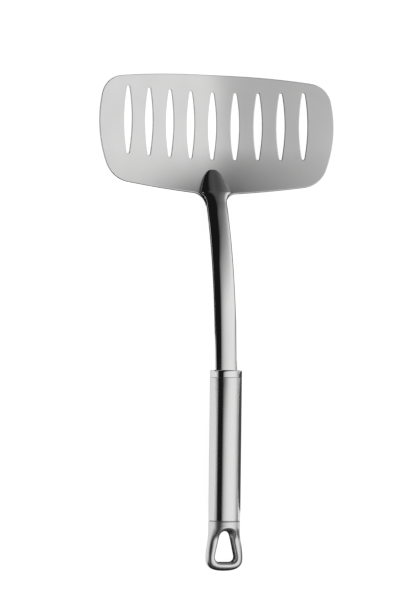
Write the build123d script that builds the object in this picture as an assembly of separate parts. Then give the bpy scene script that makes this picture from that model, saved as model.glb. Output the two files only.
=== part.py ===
from build123d import *
import os
from math import atan2, cos, degrees, radians, sin, sqrt, tan

# A fish spatula: a wide slotted blade, a cranked neck and a hollow handle that ends in a hanging loop.
# Millimetres. +Z is up, +Y points to the blade's tip, and the spatula lies at rest on a table:
# it stands on the heel of the blade and on the end of the loop. The origin is at the middle of
# the footprint. The shapes are drawn first with the blade level, its slots centred on y = 0
# and its food face at z = 0, and are tilted to the rest pose at the end.

# Blade sheet and its outline
sheet_thickness = 1.5
side_reach = 78.0
side_radius = 79.0
tip_reach = 33.0
tip_radius = 480.0
tip_corner_radius = 15.5
rear_reach = 44.8
rear_mid_out = 35.0
rear_mid_reach = 41.8
rear_end_out = 84.0
rear_end_reach = 34.8
rear_corner_radius = 18.0
edge_radius = 0.5

# Draining slots
slot_count = 9
slot_pitch = 14.8
slot_width = 5.5
slot_length = 43.4
slot_end_radius = 0.9
slot_row_rise = 1.0

# Bend of the blade
wing_angle = 11.8
bow_radius = 55.0
curl_height = 7.0
curl_start = 13.0
curl_spread = 42.0

# Tongue of the neck, welded flat on the blade
tongue_length = 18.0
tongue_foot = 46.2
tongue_half_width = 10.1
tongue_height = 2.7
toe_height = 1.2
tongue_side_share = 0.45

# Neck bar
neck_width = 14.4
neck_root_width = 13.7
neck_thickness = 6.0
neck_rise = 26.2
neck_slope_share = 0.26
neck_bend_power_share = 2.58
root_fillet = 8.0
tab_reach = 50.0

# Tang of the neck inside the handle
pocket_depth = 3.0
tang_step = 1.0
shoulder_gap = 1.5

# Handle
handle_diameter = 20.0
handle_start = 157.8
handle_height = 34.3
handle_droop_angle = 1.0
ferrule_length = 4.4
ferrule_edge_radius = 0.8
ferrule_spigot = 8.0
seal_thickness = 0.6
joint_inset = 0.4
tube_length = 89.0
tube_wall = 1.0

# Rear bush, washer and tie nut
bush_floor = 3.0
bush_flange = 0.6
bush_wall = 2.1
washer_gap = 0.6
washer_thickness = 1.0
nut_step = 1.2
nut_wall = 2.0
nut_height = 5.0
thread_past_nut = 1.5
thread_to_cap_gap = 0.6

# End cap with its hanging loop
cap_length = 30.9
cap_collar = 4.5
cap_spigot = 5.0
cap_ring_thickness = 1.3
loop_width = 24.2
loop_thickness = 7.0
loop_corner_radius = 8.5
loop_edge_radius = 1.2
eye_start = 5.6
eye_length = 19.9
eye_top_width = 7.2
eye_bottom_width = 13.8
eye_top_radius = 3.0
eye_bottom_radius = 3.2
eye_edge_radius = 1.8

# Where the neck's and the loop's sections stand, and how the loop's sections change, as shares
tongue_section_shares = (0.02, 0.1, 0.28, 0.55, 0.8)
root_section_shares = (0, 0.3, 0.6, 1)
bar_section_shares = (0.08, 0.2, 0.35, 0.5, 0.65, 0.8, 0.92)
loop_section_shares = (0.17, 0.32, 0.47, 0.62, 0.77, 1.06)
loop_spread_shares = (0.07, 0.29, 0.6, 0.84, 0.93, 0.95)
loop_round_shares = (0.65, 0.28, 0.09, 0.02, 0, 0)

# Fits
bore_gap = 0.1
slip_gap = 0.15

# Construction values
overrun = 8.0
grid_columns = 41
grid_rows = 25

handle_radius = handle_diameter / 2
tube_bore = handle_diameter - 2 * tube_wall
socket_diameter = tube_bore - 2 * (bore_gap + bush_wall)
washer_diameter = socket_diameter - 2 * washer_gap
nut_across_flats = washer_diameter - 2 * nut_step
thread_diameter = nut_across_flats - 2 * nut_wall
tang_diameter = thread_diameter + 2 * tang_step
wing_slope = tan(radians(wing_angle))
tube_start = ferrule_length + seal_thickness
tube_end = tube_start + tube_length
cap_start = tube_end + bush_flange
thread_end = cap_start - cap_spigot - thread_to_cap_gap
nut_start = thread_end - thread_past_nut - nut_height
floor_start = nut_start - washer_thickness
bush_start = floor_start - bush_floor
thread_start = bush_start - shoulder_gap
ring_start = cap_start - cap_spigot / 2 - cap_ring_thickness / 2
flare_end = rear_reach + root_fillet - sheet_thickness
handle_axis = (0, -cos(radians(handle_droop_angle)), -sin(radians(handle_droop_angle)))
handle_plane = Plane(origin=(0, -handle_start, handle_height), x_dir=(1, 0, 0), z_dir=handle_axis)
face_on = Plane(origin=(0, 0, 0), x_dir=(1, 0, 0), z_dir=(0, -1, 0))


def food_face_height(x, y):
    """Height of the blade's food face: a shallow bow across, and a curl up to the neck at the rear."""
    ease = bow_radius * wing_slope
    bow = wing_slope * (sqrt(x * x + ease * ease) - ease)
    along = max(0, (-y - curl_start) / (rear_reach - curl_start))
    return bow + curl_height * along**2 / (1 + (x / curl_spread) ** 2)


def sheet_point(x, y, depth):
    """A point below the food face, measured square to the sheet."""
    step = sheet_thickness
    rise_x = (food_face_height(x + step, y) - food_face_height(x - step, y)) / (2 * step)
    rise_y = (food_face_height(x, y + step) - food_face_height(x, y - step)) / (2 * step)
    drop = depth / sqrt(1 + rise_x**2 + rise_y**2)
    return (x + drop * rise_x, y + drop * rise_y, food_face_height(x, y) - drop)


def space_under(depth):
    """The space below a face that runs parallel to the food face, larger all round than the blade."""
    far = side_reach + overrun
    front = tip_reach + overrun
    back = -(tab_reach + overrun)
    columns = []
    for column in range(grid_columns):
        x = far * (2 * column / (grid_columns - 1) - 1)
        ys = [back + (front - back) * row / (grid_rows - 1) for row in range(grid_rows)]
        columns.append([sheet_point(x, y, depth) for y in ys])
    face = Face.make_surface_from_array_of_points(columns)
    return extrude(face, far, dir=(0, 0, -1))


def blade_outline():
    """The blade's outline from above, with the tab that runs under the neck."""
    tip_disc = Pos(0, tip_reach - tip_radius) * Circle(tip_radius)
    right_side = Pos(side_reach - side_radius) * Circle(side_radius)
    right_side &= Pos(side_reach) * Rectangle(2 * side_reach, 2 * side_radius)
    outline = tip_disc & (right_side + mirror(right_side, about=Plane.YZ))
    rear = [(0, -rear_reach), (rear_mid_out, -rear_mid_reach), (rear_end_out, -rear_end_reach)]
    right_edge = ThreePointArc(*rear)
    left_edge = mirror(right_edge, about=Plane.YZ)
    behind = [(rear_end_out, -rear_end_reach), (rear_end_out, -side_radius)]
    closing = Polyline(*behind, (-rear_end_out, -side_radius), (-rear_end_out, -rear_end_reach))
    outline -= make_face([right_edge, *closing.edges(), left_edge])
    outline += Pos(0, -flare_end) * Rectangle(neck_root_width, 2 * root_fillet)
    sides = [v for v in outline.vertices() if abs(v.X) > side_reach / 2]
    outline = fillet([v for v in sides if v.Y > 0], tip_corner_radius)
    sides = [v for v in outline.vertices() if abs(v.X) > side_reach / 2]
    outline = fillet([v for v in sides if v.Y < -rear_end_reach], rear_corner_radius)
    roots = [v for v in outline.vertices() if abs(v.X) < neck_width and v.Y > -rear_reach]
    outline = fillet(roots, root_fillet)
    return outline - Pos(0, -tab_reach - root_fillet) * Rectangle(2 * neck_width, 2 * root_fillet)


def normal_plane(x, y):
    """A plane on the food face at a place across the blade, square to the sheet there."""
    step = sheet_thickness
    rise = food_face_height(x + step, y) - food_face_height(x - step, y)
    across = (2 * step, 0, rise)
    return Plane(origin=(x, y, food_face_height(x, y)), x_dir=across, z_dir=(-rise, 0, 2 * step))


def slot_places():
    """Where the slots lie across the blade, evenly spaced along the bent sheet."""
    side_count = (slot_count - 1) // 2
    places = [0.0]
    for _ in range(side_count):
        slope = wing_slope * places[-1] / sqrt(places[-1] ** 2 + (bow_radius * wing_slope) ** 2)
        places.append(places[-1] + slot_pitch / sqrt(1 + slope**2))
    return [-x for x in reversed(places[1:])] + places


def slot_outline():
    """A long oval: two shallow arcs that run into a small round end above and below."""
    half = slot_width / 2
    end_centre = slot_length / 2 - slot_end_radius
    spread = half**2 + end_centre**2 - slot_end_radius**2
    side_radius_of_slot = spread / (2 * (half - slot_end_radius))
    lean = atan2(end_centre, side_radius_of_slot - half)
    out = slot_end_radius * cos(lean)
    up = end_centre + slot_end_radius * sin(lean)
    right = ThreePointArc((out, -up), (half, 0), (out, up))
    top = ThreePointArc((out, up), (0, slot_length / 2), (-out, up))
    left = ThreePointArc((-out, up), (-half, 0), (-out, -up))
    bottom = ThreePointArc((-out, -up), (0, -slot_length / 2), (out, -up))
    return make_face([right, top, left, bottom])


def slot_punches():
    """The tools that pierce the slots, each square to the sheet."""
    places = slot_places()
    rises = [slot_row_rise * (x / places[-1]) ** 2 for x in places]
    tool = extrude(slot_outline(), overrun, both=True)
    return [normal_plane(x, y) * tool for x, y in zip(places, rises)]


def blade():
    """One sheet of steel, pressed to its bow, pierced by the slots and rounded at every edge."""
    depth = curl_height + tip_reach
    blank = Pos(0, 0, -depth) * extrude(blade_outline(), 2 * depth)
    sheet = (blank & space_under(0)) - space_under(sheet_thickness) - slot_punches()
    rims = sheet.edges().filter_by(GeomType.LINE, reverse=True)
    return fillet(rims, min(edge_radius, sheet_thickness / 3))


def neck_height(y):
    """Height of the neck's middle line between the blade and the handle."""
    left = (handle_start + y) / (handle_start - rear_reach)
    bend = neck_slope_share * left + (1 - neck_slope_share) * max(0, left) ** neck_bend_power_share
    return handle_height - neck_rise * bend


def neck_half_width(y):
    """Half the neck's width: a slight taper from the handle, then the spread into the tongue."""
    along = min(max(0, (handle_start + y) / (handle_start - flare_end)), 1)
    plain = (neck_width + (neck_root_width - neck_width) * along) / 2
    into = min(max(0, y + flare_end), root_fillet)
    return plain + root_fillet - sqrt(root_fillet**2 - into**2)


def neck_section(y, height, half_width, half_thickness):
    """One oval section of the neck, square to its middle line."""
    step = sheet_thickness
    slope = neck_height(y - step) - neck_height(y + step)
    section = Plane(origin=(0, y, height), x_dir=(1, 0, 0), z_dir=(0, -2 * step, slope))
    return section * Ellipse(half_width, half_thickness)


def neck_bar():
    """The oval bar from the tongue on the blade to the mouth of the ferrule."""
    sections = []
    for share in tongue_section_shares:
        y = tongue_length * (1 - share) - tongue_foot
        thick = toe_height + (tongue_height - toe_height) * share
        wide = tongue_half_width * share**tongue_side_share
        sections.append(neck_section(y, food_face_height(0, y), wide, thick))
    for share in root_section_shares:
        y = -tongue_foot - (flare_end - tongue_foot) * share
        low = food_face_height(0, y)
        height = low + (neck_height(y) - low) * share
        thick = tongue_height + (neck_thickness / 2 - tongue_height) * share
        wide = min(tongue_half_width, neck_half_width(y))
        sections.append(neck_section(y, height, wide, thick))
    for share in bar_section_shares:
        y = -flare_end - (handle_start - flare_end) * share
        sections.append(neck_section(y, neck_height(y), neck_half_width(y), neck_thickness / 2))
    mouth = handle_plane * Pos(0, 0, pocket_depth)
    sections.append(mouth * Ellipse(neck_width / 2, neck_thickness / 2))
    return loft(sections)


def rod(diameter, start, length):
    """A round solid on the handle's axis, placed by its distance from the front of the ferrule."""
    low = (Align.CENTER, Align.CENTER, Align.MIN)
    return handle_plane * Pos(0, 0, start) * Cylinder(diameter / 2, length, align=low)


def ring(outer, inner, start, length):
    """A round tube or washer on the handle's axis."""
    return rod(outer, start, length) - rod(inner, start - overrun, length + 2 * overrun)


def neck():
    """Tongue, bar and tang in one forging, cut away under the tongue to lie on the blade."""
    depth = curl_height + tip_reach
    sheet_side = (Pos(0, 0, -depth) * extrude(blade_outline(), 2 * depth)) & space_under(0)
    tang = rod(tang_diameter, pocket_depth, thread_start - pocket_depth)
    thread = rod(thread_diameter, thread_start, thread_end - thread_start)
    return (neck_bar() - sheet_side) + tang + thread


def ferrule():
    """Polished collar that holds the neck and plugs the front of the tube."""
    collar = fillet(rod(handle_diameter, 0, ferrule_length).edges(), ferrule_edge_radius)
    collar += rod(tube_bore - 2 * bore_gap, ferrule_length / 2, ferrule_length / 2 + ferrule_spigot)
    pocket = Ellipse(neck_width / 2 + slip_gap, neck_thickness / 2 + slip_gap)
    collar -= handle_plane * Pos(0, 0, -overrun) * extrude(pocket, overrun + pocket_depth)
    return collar - rod(tang_diameter + 2 * bore_gap, 0, tube_length)


def front_seal():
    """Flat ring between the ferrule and the tube."""
    return ring(handle_diameter - 2 * joint_inset, tube_bore, ferrule_length, seal_thickness)


def handle_tube():
    """Brushed steel grip."""
    return ring(handle_diameter, tube_bore, tube_start, tube_length)


def rear_bush():
    """Plug that centres the tang and carries the clamping load to the end of the tube."""
    plug = rod(tube_bore - 2 * bore_gap, bush_start, tube_end - bush_start)
    plug += rod(handle_diameter - 2 * joint_inset, tube_end, bush_flange)
    plug -= rod(socket_diameter, floor_start, tube_end - floor_start + overrun)
    return plug - rod(thread_diameter + 2 * bore_gap, 0, cap_start)


def tie_washer():
    """Washer under the nut."""
    bore = thread_diameter + 2 * bore_gap
    return ring(washer_diameter, bore, floor_start, washer_thickness)


def tie_nut():
    """Nut on the end of the tang that clamps ferrule, tube and bush together."""
    hexagon = RegularPolygon(nut_across_flats / 2, 6, major_radius=False)
    body = handle_plane * Pos(0, 0, nut_start) * extrude(hexagon, nut_height)
    return body - rod(thread_diameter + 2 * bore_gap, 0, cap_start)


def cap_ring():
    """Rubber ring in the groove of the cap's spigot."""
    outer = socket_diameter - 2 * bore_gap
    return ring(outer, outer - 2 * cap_ring_thickness, ring_start, cap_ring_thickness)


def loop_blank():
    """The loop before its eye is cut: round at the tube, flat and wide at the end."""
    collar = Ellipse(handle_radius, handle_radius)
    sections = [collar, Pos(0, 0, cap_collar) * collar]
    shares = zip(loop_section_shares, loop_spread_shares, loop_round_shares)
    for along, spread, rounding in shares:
        wide = handle_diameter + (loop_width - handle_diameter) * spread
        deep = loop_thickness + (handle_diameter - loop_thickness) * rounding
        height = cap_collar + (cap_length - cap_collar) * along
        sections.append(Pos(0, 0, height) * Ellipse(wide / 2, deep / 2))
    front = Pos(0, cap_length / 2) * Rectangle(loop_width, cap_length)
    front = fillet(front.vertices().group_by(Axis.Y)[-1], loop_corner_radius)
    return loft(sections) & extrude(face_on * front, handle_diameter, both=True)


def end_cap():
    """End cap and hanging loop in one casting, with the spigot that closes the bush."""
    body = loop_blank()
    ends = body.edges().filter_by(lambda edge: edge.center().Z > cap_length - loop_corner_radius)
    body = fillet(ends.filter_by(GeomType.LINE, reverse=True), loop_edge_radius)
    eye_end = eye_start + eye_length
    corners = [(eye_top_width / 2, eye_start), (eye_bottom_width / 2, eye_end)]
    corners += [(-x, z) for x, z in reversed(corners)]
    eye = make_face(Polyline(*corners, close=True))
    eye = fillet(eye.vertices().group_by(Axis.Y)[0], eye_top_radius)
    eye = fillet(eye.vertices().group_by(Axis.Y)[-1], eye_bottom_radius)
    before = body.edges()
    body -= extrude(face_on * eye, handle_diameter, both=True)
    body = fillet((body.edges() - before).filter_by(GeomType.LINE, reverse=True), eye_edge_radius)
    spigot = rod(socket_diameter - 2 * bore_gap, cap_start - cap_spigot, cap_spigot + cap_collar / 2)
    groove = socket_diameter - 2 * bore_gap - 2 * cap_ring_thickness
    spigot -= ring(socket_diameter + overrun, groove, ring_start, cap_ring_thickness)
    return handle_plane * Pos(0, 0, cap_start) * body + spigot


makers = {
    "blade": blade,
    "neck": neck,
    "ferrule": ferrule,
    "front_seal": front_seal,
    "handle_tube": handle_tube,
    "rear_bush": rear_bush,
    "tie_washer": tie_washer,
    "tie_nut": tie_nut,
    "cap_ring": cap_ring,
    "end_cap": end_cap,
}


def box_of(piece, tilt):
    return (Rot(X=tilt) * piece).bounding_box()


def resting_tilt(heel, loop):
    """The tilt at which the blade's heel and the end of the loop stand at one height."""
    tilt = 0.0
    for _ in range(4):
        heel_box = box_of(heel, tilt)
        loop_box = box_of(loop, tilt)
        reach = heel_box.center().Y - loop_box.min.Y
        tilt += degrees(atan2(loop_box.min.Z - heel_box.min.Z, reach))
    return tilt


pieces = {name: make() for name, make in makers.items()}
tilt = resting_tilt(pieces["blade"], pieces["end_cap"])
tilted = {name: Rot(X=tilt) * piece for name, piece in pieces.items()}
whole = Compound(list(tilted.values())).bounding_box()
to_ground = Pos(-whole.center().X, -whole.center().Y, -whole.min.Z)
os.makedirs("parts", exist_ok=True)
for name, piece in tilted.items():
    export_step(to_ground * piece, f"parts/{name}.step")
print(f"rest tilt {tilt:.3f} degrees, origin at y {whole.center().Y:.3f} z {whole.min.Z:.3f}")
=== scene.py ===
from math import asin, atan2, cos, hypot, pi, radians, sin, sqrt, tan

import bmesh
import bpy
import numpy as np
from mathutils import Matrix, Vector
from mathutils.geometry import delaunay_2d_cdt


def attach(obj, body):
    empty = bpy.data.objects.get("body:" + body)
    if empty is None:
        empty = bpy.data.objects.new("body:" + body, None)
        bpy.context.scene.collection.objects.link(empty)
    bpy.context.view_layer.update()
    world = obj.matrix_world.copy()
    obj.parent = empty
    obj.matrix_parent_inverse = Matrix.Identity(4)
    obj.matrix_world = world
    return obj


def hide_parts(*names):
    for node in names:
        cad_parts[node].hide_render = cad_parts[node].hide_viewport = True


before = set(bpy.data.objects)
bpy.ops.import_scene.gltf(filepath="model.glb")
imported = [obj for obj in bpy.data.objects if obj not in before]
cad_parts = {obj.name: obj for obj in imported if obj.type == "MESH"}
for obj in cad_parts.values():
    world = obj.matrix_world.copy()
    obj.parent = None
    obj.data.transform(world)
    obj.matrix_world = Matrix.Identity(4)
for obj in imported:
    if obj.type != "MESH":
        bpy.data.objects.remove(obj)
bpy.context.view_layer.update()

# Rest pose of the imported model
rest_tilt = radians(5.709)
rest_place = (0.0, 0.126215, 0.003139)

# Blade sheet and its outline
sheet_thickness = 0.0015
side_reach = 0.078
side_radius = 0.079
tip_reach = 0.033
tip_radius = 0.480
tip_corner_radius = 0.0155
rear_reach = 0.0448
rear_mid_out = 0.035
rear_mid_reach = 0.0418
rear_end_out = 0.084
rear_end_reach = 0.0348
rear_corner_radius = 0.018
edge_radius = 0.0005

# Draining slots
slot_count = 9
slot_pitch = 0.0148
slot_width = 0.0055
slot_length = 0.0434
slot_end_radius = 0.0009
slot_row_rise = 0.001

# Bend of the blade
wing_angle = radians(11.8)
bow_radius = 0.055
wing_ease = 0.2
curl_height = 0.007
curl_start = 0.013
curl_spread = 0.042

# Neck
tongue_length = 0.018
tongue_foot = 0.0462
tongue_half_width = 0.0110
tongue_rim = 0.0003
tongue_side_share = 0.42
tongue_fullness = 2.9
tongue_bow = 0.9
neck_width = 0.0144
neck_root_width = 0.0137
neck_thickness = 0.006
neck_rise = 0.0262
neck_slope_share = 0.26
neck_bend_power = 2.58
root_fillet = 0.008
tab_reach = 0.050

# Handle
handle_diameter = 0.020
handle_start = 0.1578
handle_height = 0.0343
handle_droop = radians(1.0)
ferrule_length = 0.0044
ferrule_edge_radius = 0.0008
pocket_depth = 0.003
seal_thickness = 0.0006
tube_length = 0.089
tube_wall = 0.001
tube_edge_radius = 0.00015
groove_cover = 0.00025
bush_flange = 0.0006

# End cap with its hanging loop
cap_length = 0.0309
cap_collar = 0.0045
cap_edge_radius = 0.0003
cap_spigot = 0.005
cap_spigot_diameter = 0.0134
cap_groove = 0.0013
loop_half_width = 0.0119
loop_widest = 0.023
loop_end_power = 2.6
loop_half_thickness = 0.0043
crest_power = 0.7
body_thin_from = 0.0030
body_thin_to = 0.0165
body_end_thickness = 0.0012
eye_start = 0.0062
eye_end = 0.0254
eye_top_half_width = 0.0038
eye_bottom_half_width = 0.0066
eye_top_radius = 0.0034
eye_bottom_radius = 0.0032
eye_rim_reach = 0.0028
blend_power = 4.0

# Photographer's stand
camera_aim = (-0.01386, 0.01067, 0.015)
camera_distance = 1.6419
camera_yaw = radians(16.49)
camera_pitch = radians(-8.43)
camera_roll = radians(1.20)
camera_lens_mm = 155.86
camera_sensor_mm = 36
camera_far = 20

# Mesh density
arc_step = 0.0006
repeat_reach = arc_step / 20
grid_step = 0.0022
grid_gap = grid_step * 0.6
rim_steps = 6
net_tolerance = edge_radius / 1000
weld_reach = 0.000001
neck_rings = 420
neck_ring_power = 1.6
ring_points = 160
turn_points = 192
cap_rim_points = 150
cap_cross_points = 44
eye_arc_points = 60

wing_slope = tan(wing_angle)
handle_radius = handle_diameter / 2
flare_end = rear_reach + root_fillet - sheet_thickness
tongue_toe = tongue_length - tongue_foot
tongue_sink = sheet_thickness / 3
tube_start = ferrule_length + seal_thickness
tube_end = tube_start + tube_length
cap_start = tube_end + bush_flange
to_rest = Matrix.Translation(rest_place) @ Matrix.Rotation(rest_tilt, 4, "X")


def smooth(value, start, end):
    """0 before start, 1 after end and a soft step between."""
    share = min(max((value - start) / (end - start), 0.0), 1.0)
    return share * share * (3 - 2 * share)


def food_face_height(x, y):
    """Height of the blade's food face: a shallow bow across, and a curl up to the neck at the rear."""
    ease = bow_radius * wing_slope
    bow = wing_slope * (sqrt(x * x + ease * ease) - ease)
    bow -= wing_slope * wing_ease * side_reach * abs(x / side_reach) ** 5 / 5
    along = max(0.0, (-y - curl_start) / (rear_reach - curl_start))
    return bow + curl_height * along**2 / (1 + (x / curl_spread) ** 2)


def sheet_normal(x, y):
    """Upward normal of the food face."""
    step = edge_radius
    rise_x = food_face_height(x + step, y) - food_face_height(x - step, y)
    rise_y = food_face_height(x, y + step) - food_face_height(x, y - step)
    return Vector((-rise_x, -rise_y, 2 * step)).normalized()


def sheet_point(x, y, depth):
    """A point below the food face, measured square to the sheet."""
    return Vector((x, y, food_face_height(x, y))) - depth * sheet_normal(x, y)


def arc(centre, radius, start, end, outward=1):
    """Points of an arc with the direction out of the material at each, as (x, y, out x, out y)."""
    count = max(6, int(radius * abs(end - start) / arc_step))
    turns = [start + (end - start) * n / count for n in range(count + 1)]
    cx, cy = centre
    return [
        (cx + radius * cos(a), cy + radius * sin(a), outward * cos(a), outward * sin(a))
        for a in turns
    ]


def line(start, end):
    """Points of a straight edge, with the material on its left."""
    length = hypot(end[0] - start[0], end[1] - start[1])
    count = max(2, int(length / arc_step))
    out = ((end[1] - start[1]) / length, (start[0] - end[0]) / length)
    shares = [n / count for n in range(count + 1)]
    return [
        (start[0] + (end[0] - start[0]) * s, start[1] + (end[1] - start[1]) * s, *out)
        for s in shares
    ]


def heading(start, end):
    return atan2(end[1] - start[1], end[0] - start[0])


def meeting(first, first_reach, second, second_reach, side):
    """Where two circles meet, on the left or the right of the line between their centres."""
    gap = hypot(second[0] - first[0], second[1] - first[1])
    along = (gap**2 + first_reach**2 - second_reach**2) / (2 * gap)
    off = side * sqrt(first_reach**2 - along**2)
    ux, uy = (second[0] - first[0]) / gap, (second[1] - first[1]) / gap
    return (first[0] + along * ux - off * uy, first[1] + along * uy + off * ux)


def circle_through(a, b, c):
    """Centre and radius of the circle through three points."""
    bx, by, cx, cy = b[0] - a[0], b[1] - a[1], c[0] - a[0], c[1] - a[1]
    double = 2 * (bx * cy - by * cx)
    b2, c2 = bx * bx + by * by, cx * cx + cy * cy
    ux, uy = (cy * b2 - by * c2) / double, (bx * c2 - cx * b2) / double
    return (a[0] + ux, a[1] + uy), hypot(ux, uy)


def clean_loop(points):
    """The loop without points that repeat the one before."""
    kept = []
    for point in points:
        if not kept or hypot(point[0] - kept[-1][0], point[1] - kept[-1][1]) > repeat_reach:
            kept.append(point)
    if hypot(kept[0][0] - kept[-1][0], kept[0][1] - kept[-1][1]) < repeat_reach:
        kept.pop()
    return kept


def blade_loop():
    """The blade's outline, clockwise from the middle of its tip, with the tab under the neck."""
    tip = (0.0, tip_reach - tip_radius)
    side = (side_reach - side_radius, 0.0)
    rear_points = [(0.0, -rear_reach), (rear_mid_out, -rear_mid_reach), (rear_end_out, -rear_end_reach)]
    rear, rear_radius = circle_through(*rear_points)
    r1, r2, r3 = tip_corner_radius, rear_corner_radius, root_fillet
    first = meeting(tip, tip_radius - r1, side, side_radius - r1, -1)
    second = meeting(side, side_radius - r2, rear, rear_radius - r2, -1)
    root_x = neck_root_width / 2 + r3
    root = (root_x, rear[1] - sqrt((rear_radius + r3) ** 2 - (root_x - rear[0]) ** 2))
    half = arc(tip, tip_radius, pi / 2, heading(tip, first))
    half += arc(first, r1, heading(tip, first), heading(side, first))
    half += arc(side, side_radius, heading(side, first), heading(side, second))
    half += arc(second, r2, heading(side, second), heading(rear, second))
    half += arc(rear, rear_radius, heading(rear, second), heading(rear, root))
    half += arc(root, r3, heading(root, rear), pi, outward=-1)
    tab_side = neck_root_width / 2
    half += [(x, y, 1.0, 0.0) for x, y, _, _ in line((tab_side, root[1]), (tab_side, -tab_reach))]
    mirrored = [(-x, y, -ox, oy) for x, y, ox, oy in reversed(half)]
    return clean_loop(half + mirrored)


def slot_places():
    """Where the slots lie across the blade, evenly spaced along the bent sheet."""
    places = [0.0]
    for _ in range((slot_count - 1) // 2):
        slope = wing_slope * places[-1] / sqrt(places[-1] ** 2 + (bow_radius * wing_slope) ** 2)
        places.append(places[-1] + slot_pitch / sqrt(1 + slope**2))
    return [-x for x in reversed(places[1:])] + places


def slot_loop(place):
    """A slot's outline: two shallow arcs that run into a small round end above and below."""
    half = slot_width / 2
    end_centre = slot_length / 2 - slot_end_radius
    spread = half**2 + end_centre**2 - slot_end_radius**2
    side_curve = spread / (2 * (half - slot_end_radius))
    lean = atan2(end_centre, side_curve - half)
    rise = slot_row_rise * (place / slot_places()[-1]) ** 2
    loop = arc((half - side_curve, 0.0), side_curve, -lean, lean, outward=-1)
    loop += arc((0.0, end_centre), slot_end_radius, lean, pi - lean, outward=-1)
    loop += arc((side_curve - half, 0.0), side_curve, pi - lean, pi + lean, outward=-1)
    loop += arc((0.0, -end_centre), slot_end_radius, pi + lean, 2 * pi - lean, outward=-1)
    slope = (food_face_height(place + half, rise) - food_face_height(place - half, rise)) / slot_width
    squeeze = 1 / sqrt(1 + slope**2)
    return clean_loop([(place + x * squeeze, rise + y, ox, oy) for x, y, ox, oy in loop])


def inside(points, loop):
    """Which points lie inside a loop, by counting the loop's sides to the right of each."""
    found = np.zeros(len(points), bool)
    x, y = points[:, 0], points[:, 1]
    for a, b in zip(loop, loop[1:] + loop[:1]):
        spans = (a[1] > y) != (b[1] > y)
        rise = b[1] - a[1] if b[1] != a[1] else 1.0
        found ^= spans & (x < a[0] + (y - a[1]) * (b[0] - a[0]) / rise)
    return found


def blade_mesh():
    """Both faces of the sheet on one net of triangles, joined by rounded rims, with exact normals."""
    loops = [blade_loop()] + [slot_loop(place) for place in slot_places()]
    insets = [[(x - edge_radius * ox, y - edge_radius * oy) for x, y, ox, oy in loop] for loop in loops]
    across = np.arange(-side_reach, side_reach, grid_step)
    along = np.arange(-tab_reach, tip_reach, grid_step)
    grid = np.array([(x + (n % 2) * grid_step / 2, y) for n, y in enumerate(along) for x in across])
    rim = np.array([p for loop in insets for p in loop])
    gaps = np.array([np.min(np.hypot(*(rim - p).T)) for p in grid])
    keep = inside(grid, insets[0]) & (gaps > grid_gap)
    for loop in insets[1:]:
        keep &= ~inside(grid, loop)
    flat = [Vector(p) for p in rim] + [Vector(p) for p in grid[keep]]
    sides = []
    starts = []
    for loop in insets:
        first = starts[-1][1] if starts else 0
        starts.append((first, first + len(loop)))
        ids = list(range(first, first + len(loop)))
        sides += list(zip(ids, ids[1:] + ids[:1]))
    net, _, triangles, sources, _, _ = delaunay_2d_cdt(flat, sides, [], 1, net_tolerance)
    new_id = {}
    for n, found in enumerate(sources):
        for source in found:
            new_id[source] = n
    centres = np.array([sum((net[i] for i in t), Vector((0, 0))) / 3 for t in triangles])
    solid = inside(centres, insets[0])
    for loop in insets[1:]:
        solid &= ~inside(centres, loop)
    triangles = [t for t, kept in zip(triangles, solid) if kept]
    points = [sheet_point(p.x, p.y, 0) for p in net]
    normals = [sheet_normal(p.x, p.y) for p in net]
    count = len(points)
    points += [sheet_point(p.x, p.y, sheet_thickness) for p in net]
    normals += [-n for n in normals]
    faces = [tuple(t) for t in triangles]
    faces += [tuple(count + i for i in reversed(t)) for t in triangles]
    turns = [pi / 2 * n / rim_steps for n in range(1, rim_steps + 1)]
    turns += [pi / 2 + pi / 2 * n / rim_steps for n in range(rim_steps)]
    for loop, (first, last) in zip(loops, starts):
        rings = [[new_id[i] for i in range(first, last)]]
        for number, turn in enumerate(turns):
            ring = []
            deep = edge_radius * (1 - cos(turn))
            if number >= rim_steps:
                deep += sheet_thickness - 2 * edge_radius
            for x, y, ox, oy in loop:
                back = edge_radius * (1 - sin(turn))
                px, py = x - back * ox, y - back * oy
                up = sheet_normal(px, py)
                out = Vector((ox, oy, 0))
                out = (out - up * out.dot(up)).normalized()
                ring.append(len(points))
                points.append(sheet_point(px, py, deep))
                normals.append(up * cos(turn) + out * sin(turn))
            rings.append(ring)
        rings.append([count + i for i in rings[0]])
        for upper, lower in zip(rings, rings[1:]):
            n = len(upper)
            faces += [(upper[i], upper[(i + 1) % n], lower[(i + 1) % n], lower[i]) for i in range(n)]
    return points, faces, normals


def neck_height(y):
    """Height of the neck's middle line between the blade and the handle."""
    left = (handle_start + y) / (handle_start - rear_reach)
    bend = neck_slope_share * left + (1 - neck_slope_share) * max(0.0, left) ** neck_bend_power
    return handle_height - neck_rise * bend


def neck_middle(y):
    """Height of the middle line, which runs along the food face under the tongue."""
    lift = smooth(-y, tongue_foot - tongue_length / 2, flare_end + root_fillet)
    return food_face_height(0.0, y) * (1 - lift) + neck_height(y) * lift


def neck_half_width(y):
    """Half the neck's width: a slight taper from the handle, then the spread into the tongue."""
    along = min(max(0.0, (handle_start + y) / (handle_start - flare_end)), 1.0)
    plain = (neck_width + (neck_root_width - neck_width) * along) / 2
    into = min(max(0.0, y + flare_end), root_fillet)
    flare = plain + root_fillet - sqrt(root_fillet**2 - into**2)
    share = min(max(0.0, (tongue_toe - y) / tongue_length), 1.0)
    return min(flare, tongue_half_width * share**tongue_side_share)


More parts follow.
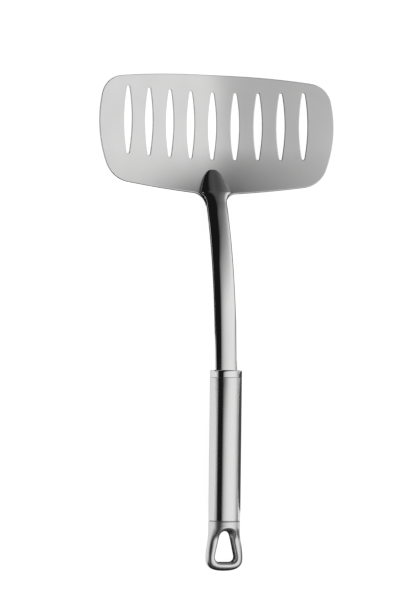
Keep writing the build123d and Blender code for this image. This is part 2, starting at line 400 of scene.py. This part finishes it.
def neck_half_thickness(y):
    """Half the neck's thickness: its top runs straight down to a thin toe on the blade."""
    if y <= -flare_end:
        return neck_thickness / 2
    low = neck_middle(tongue_toe) + tongue_rim
    high = neck_middle(-flare_end) + neck_thickness / 2
    top = low + (high - low) * (tongue_toe - y) / (tongue_toe + flare_end)
    return max(0.0, top - neck_middle(y)) * min(1.0, max(0.0, tongue_toe - y) / tongue_rim)


def full_wave(wave, power):
    """A sine or cosine bent towards a square wave, for sections fuller than an ellipse."""
    return abs(wave) ** power * (1 if wave > 0 else -1)


def neck_mesh():
    """Oval rings square to the middle line, from the toe on the blade into the collar."""
    mouth = -handle_start - pocket_depth
    shares = [(n / neck_rings) ** neck_ring_power for n in range(neck_rings + 1)]
    stations = [tongue_toe + (mouth - tongue_toe) * share for share in shares]
    step = edge_radius
    points = []
    for y in stations:
        slope = (neck_middle(y - step) - neck_middle(y + step)) / (2 * step)
        back = Vector((0, -1, slope)).normalized()
        up = Vector((1, 0, 0)).cross(back)
        if up.z < 0:
            up.negate()
        middle = Vector((0, y, neck_middle(y)))
        wide, thick = neck_half_width(y), neck_half_thickness(y)
        rounding = smooth(-y, tongue_foot - tongue_length / 3, flare_end + root_fillet)
        power = 2 / (tongue_fullness + (2 - tongue_fullness) * rounding)
        follow = tongue_bow * smooth(y, -flare_end, -rear_reach)
        for k in range(ring_points):
            turn = 2 * pi * k / ring_points
            across = wide * full_wave(cos(turn), power)
            lift = thick * full_wave(sin(turn), power)
            point = middle + Vector((across, 0, 0)) + up * lift
            if y > -flare_end:
                point.z += (food_face_height(across, y) - food_face_height(0, y)) * follow
            if y > -tab_reach:
                point.z = max(point.z, food_face_height(point.x, y) - tongue_sink)
            points.append(point)
    return points, tube_faces(len(stations), ring_points), None


def tube_faces(rings, around, ends=True):
    """Quads between closed rings that follow each other, with their two end faces."""
    faces = []
    for r in range(rings - 1):
        for k in range(around):
            a, b = r * around + k, r * around + (k + 1) % around
            faces.append((a, b, b + around, a + around))
    if ends:
        last = (rings - 1) * around
        faces.append(tuple(reversed(range(around))))
        faces.append(tuple(range(last, last + around)))
    return faces


def handle_matrix():
    """From the handle's own axes, across, up and along towards the loop, to the level blade's."""
    back = Vector((0, -cos(handle_droop), -sin(handle_droop)))
    side = Vector((1, 0, 0))
    up = back.cross(side)
    turn = Matrix((side, up, back)).transposed().to_4x4()
    return Matrix.Translation((0, -handle_start, handle_height)) @ turn


def turned_mesh(profile):
    """A closed shape turned round the handle's axis from (along, radius) points."""
    points = []
    for along, radius in profile:
        for k in range(turn_points):
            turn = 2 * pi * k / turn_points
            points.append(handle_matrix() @ Vector((radius * cos(turn), radius * sin(turn), along)))
    return points, tube_faces(len(profile), turn_points), None


def rounded(along, radius, edge, start, end):
    """Points of a small rounding on a turned profile, between two angles in degrees."""
    turns = [radians(start + (end - start) * n / rim_steps) for n in range(rim_steps + 1)]
    return [(along - edge * cos(a), radius + edge * sin(a)) for a in turns]


def ferrule_profile():
    """The collar's outside, (along, radius), drawn out over the seal to leave a thin groove."""
    edge = ferrule_edge_radius
    rear = tube_edge_radius
    end = ferrule_length + groove_cover
    front = rounded(edge, handle_radius - edge, edge, 0, 90)
    back = rounded(end - rear, handle_radius - rear, rear, 90, 180)
    return [(0.0, handle_radius / 2)] + front + back + [(end, handle_radius / 2)]


def tube_profile():
    """The grip tube's wall, (along, radius), drawn forward over the seal in the same way."""
    edge = tube_edge_radius
    start = tube_start - groove_cover
    front = rounded(start + edge, handle_radius - edge, edge, 0, 90)
    back = rounded(tube_end - edge, handle_radius - edge, edge, 90, 180)
    inner = handle_radius - tube_wall
    return [(start, inner)] + front + back + [(tube_end, inner)]


def along_axis(mesh):
    """A UV map whose first direction runs along the handle, square to the brushing."""
    turned_back = (to_rest @ handle_matrix()).inverted()
    places = [turned_back @ vertex.co for vertex in mesh.vertices]
    layer = mesh.uv_layers.new(name="along")
    for face in mesh.polygons:
        turns = [atan2(places[i].y, places[i].x) for i in face.vertices]
        if max(turns) - min(turns) > pi:
            turns = [turn + 2 * pi if turn < 0 else turn for turn in turns]
        for loop, turn, i in zip(face.loop_indices, turns, face.vertices):
            layer.data[loop].uv = (places[i].z / tube_length, turn / (2 * pi))


def new_piece(name, shape, replaced):
    """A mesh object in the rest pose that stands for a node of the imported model."""
    points, faces, normals = shape
    mesh = bpy.data.meshes.new(name)
    mesh.from_pydata([to_rest @ p for p in points], [], faces)
    shape_net = bmesh.new()
    shape_net.from_mesh(mesh)
    if not normals:
        bmesh.ops.remove_doubles(shape_net, verts=shape_net.verts, dist=weld_reach)
    bmesh.ops.recalc_face_normals(shape_net, faces=shape_net.faces)
    shape_net.to_mesh(mesh)
    shape_net.free()
    mesh.shade_smooth()
    if normals:
        turn = to_rest.to_3x3()
        mesh.normals_split_custom_set_from_vertices([turn @ n for n in normals])
    if name == "grip_tube":
        along_axis(mesh)
    piece = bpy.data.objects.new(name, mesh)
    bpy.context.scene.collection.objects.link(piece)
    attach(piece, "root")
    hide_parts(replaced)
    return piece


def cap_half_width(along):
    """Half the end cap's width at a distance from its front."""
    spread = smooth(along, cap_collar, loop_widest)
    wide = handle_radius + (loop_half_width - handle_radius) * spread
    if along > loop_widest:
        share = min((along - loop_widest) / (cap_length - loop_widest), 1.0)
        wide *= (1 - share**loop_end_power) ** (1 / loop_end_power)
    if along < cap_edge_radius:
        wide -= cap_edge_radius - sqrt(cap_edge_radius**2 - (cap_edge_radius - along) ** 2)
    return wide


def cap_outline():
    """The end cap's outline, (across, along): front, right side, end and left side."""
    count = cap_rim_points
    turns = [pi / 2 * n / count for n in range(count + 1)]
    half = [(cap_half_width(0) * sin(turn), 0.0) for turn in turns[:-1]]
    half += [(cap_half_width(y), y) for y in (loop_widest * (n / count) ** 2 for n in range(count))]
    end = cap_length - loop_widest
    for turn in turns:
        along = end * sin(turn) ** (2 / loop_end_power)
        half.append((loop_half_width * cos(turn) ** (2 / loop_end_power), loop_widest + along))
    return half + [(-x, y) for x, y in reversed(half[1:-1])]


def eye_outline():
    """The eye's outline: four circles, two by two, with straight edges drawn tight round them."""
    top = (eye_top_half_width - eye_top_radius, eye_start + eye_top_radius)
    low = (eye_bottom_half_width - eye_bottom_radius, eye_end - eye_bottom_radius)
    gap = hypot(low[0] - top[0], low[1] - top[1])
    lean = heading(top, low) - pi / 2 - asin((eye_bottom_radius - eye_top_radius) / gap)
    circles = ((top, eye_top_radius, -pi / 2, lean), (low, eye_bottom_radius, lean, pi / 2))
    half = []
    for (x, y), radius, start, end in circles:
        turns = [start + (end - start) * n / eye_arc_points for n in range(eye_arc_points + 1)]
        half += [(x + radius * cos(turn), y + radius * sin(turn)) for turn in turns]
    return half + [(-x, y) for x, y in reversed(half)]


def nearest(point, loop):
    """The place on a loop's sides that lies nearest to a point."""
    ends = np.array(loop)
    sides = np.roll(ends, -1, axis=0) - ends
    lengths = (sides**2).sum(1)
    away = np.array(point) - ends
    shares = np.clip((away * sides).sum(1) / np.where(lengths > 0, lengths, 1), 0, 1)
    places = ends + shares[:, None] * sides
    return places[np.argmin(np.hypot(*(places - point).T))]


def cap_depth(across, along, share, to_eye):
    """Half the end cap's thickness: a round body that thins out into a ring of round section."""
    wide = cap_half_width(along)
    thin = smooth(along, body_thin_from, body_thin_to)
    deep = wide + (body_end_thickness - wide) * thin
    near_eye = min(to_eye / eye_rim_reach, 1.0)
    rim = sqrt(1 - (1 - near_eye) ** 2)
    body = deep * sqrt(max(0.0, 1 - (across / wide) ** 2)) * rim if wide else 0.0
    towards_eye = share**crest_power
    ring = 2 * loop_half_thickness * sqrt(max(0.0, towards_eye * (1 - towards_eye)))
    ring *= smooth(along, cap_edge_radius, cap_collar)
    return (body**blend_power + ring**blend_power) ** (1 / blend_power)


def cap_mesh():
    """Front and back of the end cap, drawn along lines from the eye's edge out to the outline."""
    outer = cap_outline()
    eye = eye_outline()
    feet = [nearest(point, eye) for point in outer]
    count, rows = len(outer), cap_cross_points
    points = []
    for side in (1, -1):
        for row in range(rows + 1):
            share = (1 - cos(pi * row / rows)) / 2
            for (x, y), (foot_x, foot_y) in zip(outer, feet):
                px, py = foot_x + (x - foot_x) * share, foot_y + (y - foot_y) * share
                deep = cap_depth(px, py, share, share * hypot(x - foot_x, y - foot_y))
                points.append(handle_matrix() @ Vector((px, side * deep, cap_start + py)))
    faces = tube_faces(rows + 1, count, ends=False)
    back = (rows + 1) * count
    faces += [tuple(back + i for i in reversed(face)) for face in faces]
    edge = rows * count
    for k in range(count):
        after = (k + 1) % count
        faces.append((edge + k, edge + after, back + edge + after, back + edge + k))
    radius = cap_spigot_diameter / 2
    groove_start = -(cap_spigot + cap_groove) / 2
    groove_end = groove_start + cap_groove
    profile = [(-cap_spigot, radius / 2), (-cap_spigot, radius)]
    profile += [(groove_start, radius), (groove_start, radius - cap_groove)]
    profile += [(groove_end, radius - cap_groove), (groove_end, radius)]
    profile += [(cap_edge_radius, radius), (cap_edge_radius, radius / 2)]
    spigot, spigot_faces, _ = turned_mesh([(cap_start + along, reach) for along, reach in profile])
    first = len(points)
    return points + spigot, faces + [tuple(first + i for i in face) for face in spigot_faces], None


def make_camera():
    """The camera at the photograph's place, looking down on the food side."""
    yaw = Matrix.Rotation(camera_yaw, 3, "Y")
    pitch = Matrix.Rotation(camera_pitch, 3, "X")
    roll = Matrix.Rotation(camera_roll, 3, "Z")
    axes = (roll @ pitch @ yaw).transposed()
    data = bpy.data.cameras.new("camera")
    data.lens = camera_lens_mm
    data.sensor_width = camera_sensor_mm
    data.sensor_fit = "AUTO"
    data.clip_end = camera_far
    camera = bpy.data.objects.new("camera", data)
    place = Vector(camera_aim) + axes.col[2] * camera_distance
    camera.matrix_world = Matrix.Translation(place) @ axes.to_4x4()
    bpy.context.scene.collection.objects.link(camera)
    bpy.context.scene.camera = camera
    return axes


pieces = {
    "blade": new_piece("blade_sheet", blade_mesh(), "blade"),
    "neck": new_piece("neck_forging", neck_mesh(), "neck"),
    "ferrule": new_piece("collar", turned_mesh(ferrule_profile()), "ferrule"),
    "tube": new_piece("grip_tube", turned_mesh(tube_profile()), "handle_tube"),
    "cap": new_piece("loop_cap", cap_mesh(), "end_cap"),
}
stand_axes = make_camera()


def to_light(tone, albedo=1.0):
    """The light that gives a tone of the photograph, from 0 to 1, in a mirror of that albedo."""
    linear = tone / 12.92 if tone <= 0.04045 else ((tone + 0.055) / 1.055) ** 2.4
    return linear / albedo


class Net:
    """Short names for making and joining the nodes of a material or a world."""

    def __init__(self, holder):
        holder.use_nodes = True
        self.tree = holder.node_tree
        self.tree.nodes.clear()

    def node(self, kind, links=(), **settings):
        node = self.tree.nodes.new(kind)
        for name, value in settings.items():
            setattr(node, name, value)
        for number, source in links:
            if isinstance(source, bpy.types.NodeSocket):
                self.tree.links.new(source, node.inputs[number])
            else:
                node.inputs[number].default_value = source
        return node

    def math(self, operation, *values):
        node = self.node("ShaderNodeMath", list(enumerate(values)), operation=operation)
        return node.outputs[0]

    def dot(self, vector, axis):
        links = [(0, vector), (1, tuple(axis))]
        return self.node("ShaderNodeVectorMath", links, operation="DOT_PRODUCT").outputs["Value"]

    def curve(self, value, stops):
        """A number that follows the stops, (place, height), in a straight line from one to the next."""
        low, high = stops[0][0], stops[-1][0]
        top = max(height for _, height in stops)
        share = self.node("ShaderNodeMapRange", [(0, value), (1, low), (2, high)]).outputs[0]
        ramp = self.node("ShaderNodeValToRGB", [(0, share)])
        elements = ramp.color_ramp.elements
        for number, (place, height) in enumerate(stops):
            position = (place - low) / (high - low)
            if number == 0:
                element = elements[0]
                element.position = 0
            elif number == len(stops) - 1:
                element = elements[len(elements) - 1]
                element.position = 1
            else:
                element = elements.new(position)
            element.color = (height / top, height / top, height / top, 1)
        return self.math("MULTIPLY", ramp.outputs[0], top)

    def soft_light(self, past, softness, tone):
        """The light of a lamp with a soft edge, by the degrees past that edge."""
        depth = self.math("DIVIDE", self.math("MAXIMUM", past, 0.0), -softness)
        rise = self.math("SUBTRACT", 1.0, self.math("EXPONENT", depth))
        return self.math("MULTIPLY", rise, to_light(tone, steel_albedo))

    def mix(self, share, first, second):
        return self.node("ShaderNodeMix", [(0, share), (2, first), (3, second)]).outputs[0]

    def noise(self, vector, detail):
        links = [("Vector", vector), ("Scale", 1.0), ("Detail", detail), ("Roughness", 0.5)]
        return self.node("ShaderNodeTexNoise", links).outputs["Fac"]

    def spread(self, noise, low, high):
        """A noise's usual range laid out between two values."""
        first, last = noise_range
        links = [(0, noise), (1, first), (2, last), (3, low), (4, high)]
        return self.node("ShaderNodeMapRange", links).outputs[0]


# The studio as the steel shows it. Directions are degrees to the right of the stand and degrees
# up towards the blade's tip. Tones are the steel's, from 0 to 1.
steel_albedo = 0.9

# The lights left and right of the tall black card: tone, the card's border, and softness, the
# degrees past the border where about two thirds of the light show
left_tone = 0.86
left_border = -56
left_softness = 12
right_tone = 0.88
right_border = -21
right_softness = 16
# How the light fades far to the right, behind the grip and, higher up, beside the neck's root
fade_middle = 94
fade_softness = 9.5
fade_rest = 0.1
root_fall = ((-180, 1), (-8, 1), (4, 0.93), (30, 0.78), (180, 0.74))

# By height: degrees that the card's right border moves, and where neck and root see their own light
card_shift = ((-90, 0), (8, 0), (11, 23), (34, 31), (43, 45), (50, 48), (60, 64), (90, 64))
neck_share = ((-90, 0), (8, 0), (11, 1), (90, 1))
root_share = ((-90, 0), (24, 0), (38, 1), (90, 1))

# By height: share of the light towards the tip, and towards the loop on the right and the left
height_share = ((-90, 1.0), (20, 1.0), (45, 0.3), (60, 0.17), (90, 0.05))
low_share = ((-90, 0.03), (-58, 0.03), (-52, 0.2), (-46, 0.8), (-40, 1.0), (90, 1.0))
left_low_share = ((-90, 0.03), (-52, 0.03), (-45, 0.2), (-38, 0.8), (-30, 1.0), (90, 1.0))

# Black card, floor and low cards: (near corner, far corner, tone)
card_light = to_light(0.09)
floor_half = 4
floor_own_light = 0.92
floor_mirror_light = 0.62
floor_albedo = 0.4
# Low cards: painted shade, grey and black glowing sheets seen only in the steel, standing in for the
# floor's shade under and beside the object
painted_shade_cards = {
    "painted_shade_grip": ((-0.009, -0.122), (0.7, -0.024), 0.28),
    "painted_shade_loop_right": ((-0.009, -0.16), (0.7, -0.140), 0.12),
    "painted_shade_eye": ((-0.002, -0.155), (0.0085, -0.128), 0.1),
    "painted_shade_end": ((-0.7, -0.7), (0.7, -0.1605), 0.06),
    "painted_shade_neck": ((-0.7, -0.008), (0.005, 0.085), 0.06),
    "painted_shade_neck_right": ((0.005, 0.035), (0.5, 0.085), 0.3),
    "painted_shade_neck_middle": ((0.005, -0.004), (0.5, 0.035), 0.5),
    "painted_shade_wing": ((0.022, 0.086), (0.074, 0.158), 0.1),
}
card_height = 0.0003
white = (1, 1, 1, 1)

# Wear and grain of the steel, and the rubber
wear = 0.12
noise_range = (0.3, 0.7)
cloud_scale = (55, 38, 55)
fine_share = 0.6
blue_share = 0.995
scratch_scale = 0.35
scratch_range = (0.66, 0.8)
scratch_depth = 0.6
rubber_grain = (3000, 3000, 3000)
rubber_grain_height = 0.00001
rubber_cloud = (200, 200, 200)
rubber_tones = (0.012, 0.022)
rubber_roughness = (0.55, 0.75)


def make_world():
    """A soft studio: a bright tent with a tall black card, dark towards the tip and the loop."""
    world = bpy.data.worlds.new("studio")
    bpy.context.scene.world = world
    net = Net(world)
    direction = net.node("ShaderNodeTexCoord").outputs["Generated"]
    right, up, back = (net.dot(direction, stand_axes.col[n]) for n in range(3))
    turn = net.math("MULTIPLY", net.math("ARCTAN2", right, back), 180 / pi)
    lift = net.math("MULTIPLY", net.math("ARCSINE", up), 180 / pi)
    moved = net.math("SUBTRACT", turn, net.curve(lift, card_shift))
    on_neck = net.curve(lift, neck_share)
    left = net.soft_light(net.math("SUBTRACT", left_border, turn), left_softness, left_tone)
    left = net.math("MULTIPLY", left, net.math("SUBTRACT", 1.0, on_neck))
    left = net.math("MULTIPLY", left, net.curve(lift, left_low_share))
    fading = net.math("DIVIDE", net.math("SUBTRACT", turn, fade_middle), fade_softness)
    fading = net.math("ADD", net.math("EXPONENT", fading), 1.0)
    fading = net.math("ADD", net.math("DIVIDE", 1 - fade_rest, fading), fade_rest)
    fall = net.mix(on_neck, fading, 1.0)
    root = net.mix(net.curve(lift, root_share), 1.0, net.curve(turn, root_fall))
    rising = net.soft_light(net.math("SUBTRACT", moved, right_border), right_softness, right_tone)
    rising = net.math("MULTIPLY", rising, net.curve(lift, low_share))
    light = net.math("ADD", left, net.math("MULTIPLY", rising, net.math("MULTIPLY", fall, root)))
    light = net.math("MULTIPLY", light, net.curve(lift, height_share))
    light = net.math("ADD", light, card_light)
    rays = net.node("ShaderNodeLightPath").outputs
    seen = net.math("MAXIMUM", rays["Is Camera Ray"], rays["Is Transmission Ray"])
    background = net.node("ShaderNodeBackground", [(0, white), (1, net.mix(seen, light, 1.0))])
    net.node("ShaderNodeOutputWorld", [(0, background.outputs[0])])


def flat_sheet(name, low, high, height):
    """A level rectangle, for the floor and the studio's cards."""
    mesh = bpy.data.meshes.new(name)
    corners = [(low[0], low[1]), (high[0], low[1]), (high[0], high[1]), (low[0], high[1])]
    mesh.from_pydata([(x, y, height) for x, y in corners], [], [(0, 1, 2, 3)])
    sheet = bpy.data.objects.new(name, mesh)
    bpy.context.scene.collection.objects.link(sheet)
    return sheet


def make_floor():
    """White paper: bright to the camera, plainer in the steel, and open to the object's shadow."""
    floor = flat_sheet("floor", (-floor_half, -floor_half), (floor_half, floor_half), 0)
    material = bpy.data.materials.new("floor_paper")
    net = Net(material)
    rays = net.node("ShaderNodeLightPath").outputs
    seen = net.math("MAXIMUM", rays["Is Camera Ray"], rays["Is Transmission Ray"])
    own = net.math("MULTIPLY", seen, floor_own_light)
    own = net.math("ADD", own, net.math("MULTIPLY", rays["Is Glossy Ray"], floor_mirror_light))
    glow = net.node("ShaderNodeEmission", [(0, white), (1, own)])
    paper = net.node("ShaderNodeBsdfDiffuse", [(0, (floor_albedo, floor_albedo, floor_albedo, 1))])
    both = net.node("ShaderNodeAddShader", [(0, glow.outputs[0]), (1, paper.outputs[0])])
    net.node("ShaderNodeOutputMaterial", [(0, both.outputs[0])])
    floor.data.materials.append(material)


def make_painted_shade_cards():
    """Painted shade: grey and black glowing cards laid low round the object, seen only in the steel, in
    place of the floor's shade under and beside it.
    """
    for name, (low, high, tone) in painted_shade_cards.items():
        card = flat_sheet(name, low, high, card_height)
        material = bpy.data.materials.new(name)
        net = Net(material)
        # painted shade: each card glows at the tone of the shaded floor it stands in for
        paper = net.node("ShaderNodeEmission", [(0, white), (1, to_light(tone))])
        net.node("ShaderNodeOutputMaterial", [(0, paper.outputs[0])])
        card.data.materials.append(material)
        card.visible_camera = False
        card.visible_diffuse = False
        card.visible_shadow = False
        card.visible_transmission = False


def local_coordinates(net, turn, scale):
    """The piece's own coordinates, turned level and stretched."""
    place = net.node("ShaderNodeTexCoord").outputs["Object"]
    level = net.node("ShaderNodeMapping", [(0, place), (2, (-turn, 0.0, 0.0))]).outputs[0]
    return net.node("ShaderNodeMapping", [(0, level), (3, scale)]).outputs[0]


def steel(name, tone, roughness, grain, grain_height, turn=rest_tilt, anisotropy=0.0):
    """Steel with fine grain or brushing, scattered scratches and slightly uneven polish."""
    material = bpy.data.materials.new(name)
    net = Net(material)
    fine = net.noise(local_coordinates(net, turn, grain), 3)
    cloud = net.noise(local_coordinates(net, turn, cloud_scale), 4)
    hair = net.noise(local_coordinates(net, turn, tuple(v * scratch_scale for v in grain)), 2)
    first, last = scratch_range
    scratch = net.node("ShaderNodeMapRange", [(0, hair), (1, first), (2, last)]).outputs[0]
    low, high = tone * (1 - wear / 5), tone * (1 + wear / 8)
    shade = net.math(
        "ADD", net.math("MULTIPLY", fine, fine_share), net.math("MULTIPLY", cloud, 1 - fine_share)
    )
    shade = net.spread(shade, low, high)
    blue = net.math("MULTIPLY", shade, blue_share)
    colour = net.node("ShaderNodeCombineColor", [(0, shade), (1, shade), (2, blue)])
    rough = net.spread(cloud, roughness * (1 - wear), roughness * (1 + wear))
    rough = net.math("ADD", rough, net.math("MULTIPLY", scratch, roughness * wear))
    height = net.math("SUBTRACT", fine, net.math("MULTIPLY", scratch, scratch_depth))
    bump_links = [("Strength", 1.0), ("Distance", grain_height), ("Height", height)]
    bump = net.node("ShaderNodeBump", bump_links)
    links = [("Base Color", colour.outputs[0]), ("Metallic", 1.0), ("Roughness", rough)]
    links.append(("Normal", bump.outputs[0]))
    if anisotropy:
        tangent = net.node("ShaderNodeTangent", direction_type="UV_MAP", uv_map="along").outputs[0]
        links += [("Anisotropic", anisotropy), ("Tangent", tangent)]
    shader = net.node("ShaderNodeBsdfPrincipled", links)
    net.node("ShaderNodeOutputMaterial", [(0, shader.outputs[0])])
    return material


def rubber(name):
    """Matt black rubber with a faint grain."""
    material = bpy.data.materials.new(name)
    net = Net(material)
    fine = net.noise(local_coordinates(net, rest_tilt, rubber_grain), 3)
    cloud = net.noise(local_coordinates(net, rest_tilt, rubber_cloud), 2)
    shade = net.spread(cloud, *rubber_tones)
    colour = net.node("ShaderNodeCombineColor", [(0, shade), (1, shade), (2, shade)])
    rough = net.spread(fine, *rubber_roughness)
    bump_links = [("Strength", 1.0), ("Distance", rubber_grain_height), ("Height", fine)]
    bump = net.node("ShaderNodeBump", bump_links)
    links = [("Base Color", colour.outputs[0]), ("Roughness", rough), ("Normal", bump.outputs[0])]
    shader = net.node("ShaderNodeBsdfPrincipled", links)
    net.node("ShaderNodeOutputMaterial", [(0, shader.outputs[0])])
    return material


handle_turn = rest_tilt + handle_droop
brushed = steel(
    "brushed_grip", steel_albedo, 0.19, (60, 5200, 60), 0.000003, turn=handle_turn, anisotropy=0.7
)
cast = steel("cap_satin", steel_albedo, 0.33, (2200, 2200, 2200), 0.0000015, turn=handle_turn)
looks = {
    "blade_steel": steel("blade_satin", steel_albedo, 0.38, (900, 2600, 900), 0.000002),
    "polished_steel": steel("polished", steel_albedo, 0.05, (1500, 260, 1500), 0.0000006),
    "grip_steel": brushed,
    "cap_steel": cast,
    "inner_steel": steel("plain_turned", 0.42, 0.4, (300, 3200, 300), 0.000003, turn=handle_turn),
    "black_rubber": rubber("rubber"),
}
slots = {
    "blade": "blade_steel",
    "neck": "polished_steel",
    "ferrule": "polished_steel",
    "tube": "grip_steel",
    "cap": "cap_steel",
}
for name, piece in pieces.items():
    piece.data.materials.append(looks[slots[name]])
node_slots = {
    "front_seal": "black_rubber",
    "cap_ring": "black_rubber",
    "rear_bush": "inner_steel",
    "tie_washer": "inner_steel",
    "tie_nut": "inner_steel",
}
for name, slot in node_slots.items():
    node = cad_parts[name]
    node.data.materials.clear()
    node.data.materials.append(looks[slot])
make_world()
make_floor()
make_painted_shade_cards()
bpy.context.scene.view_settings.view_transform = "Standard"
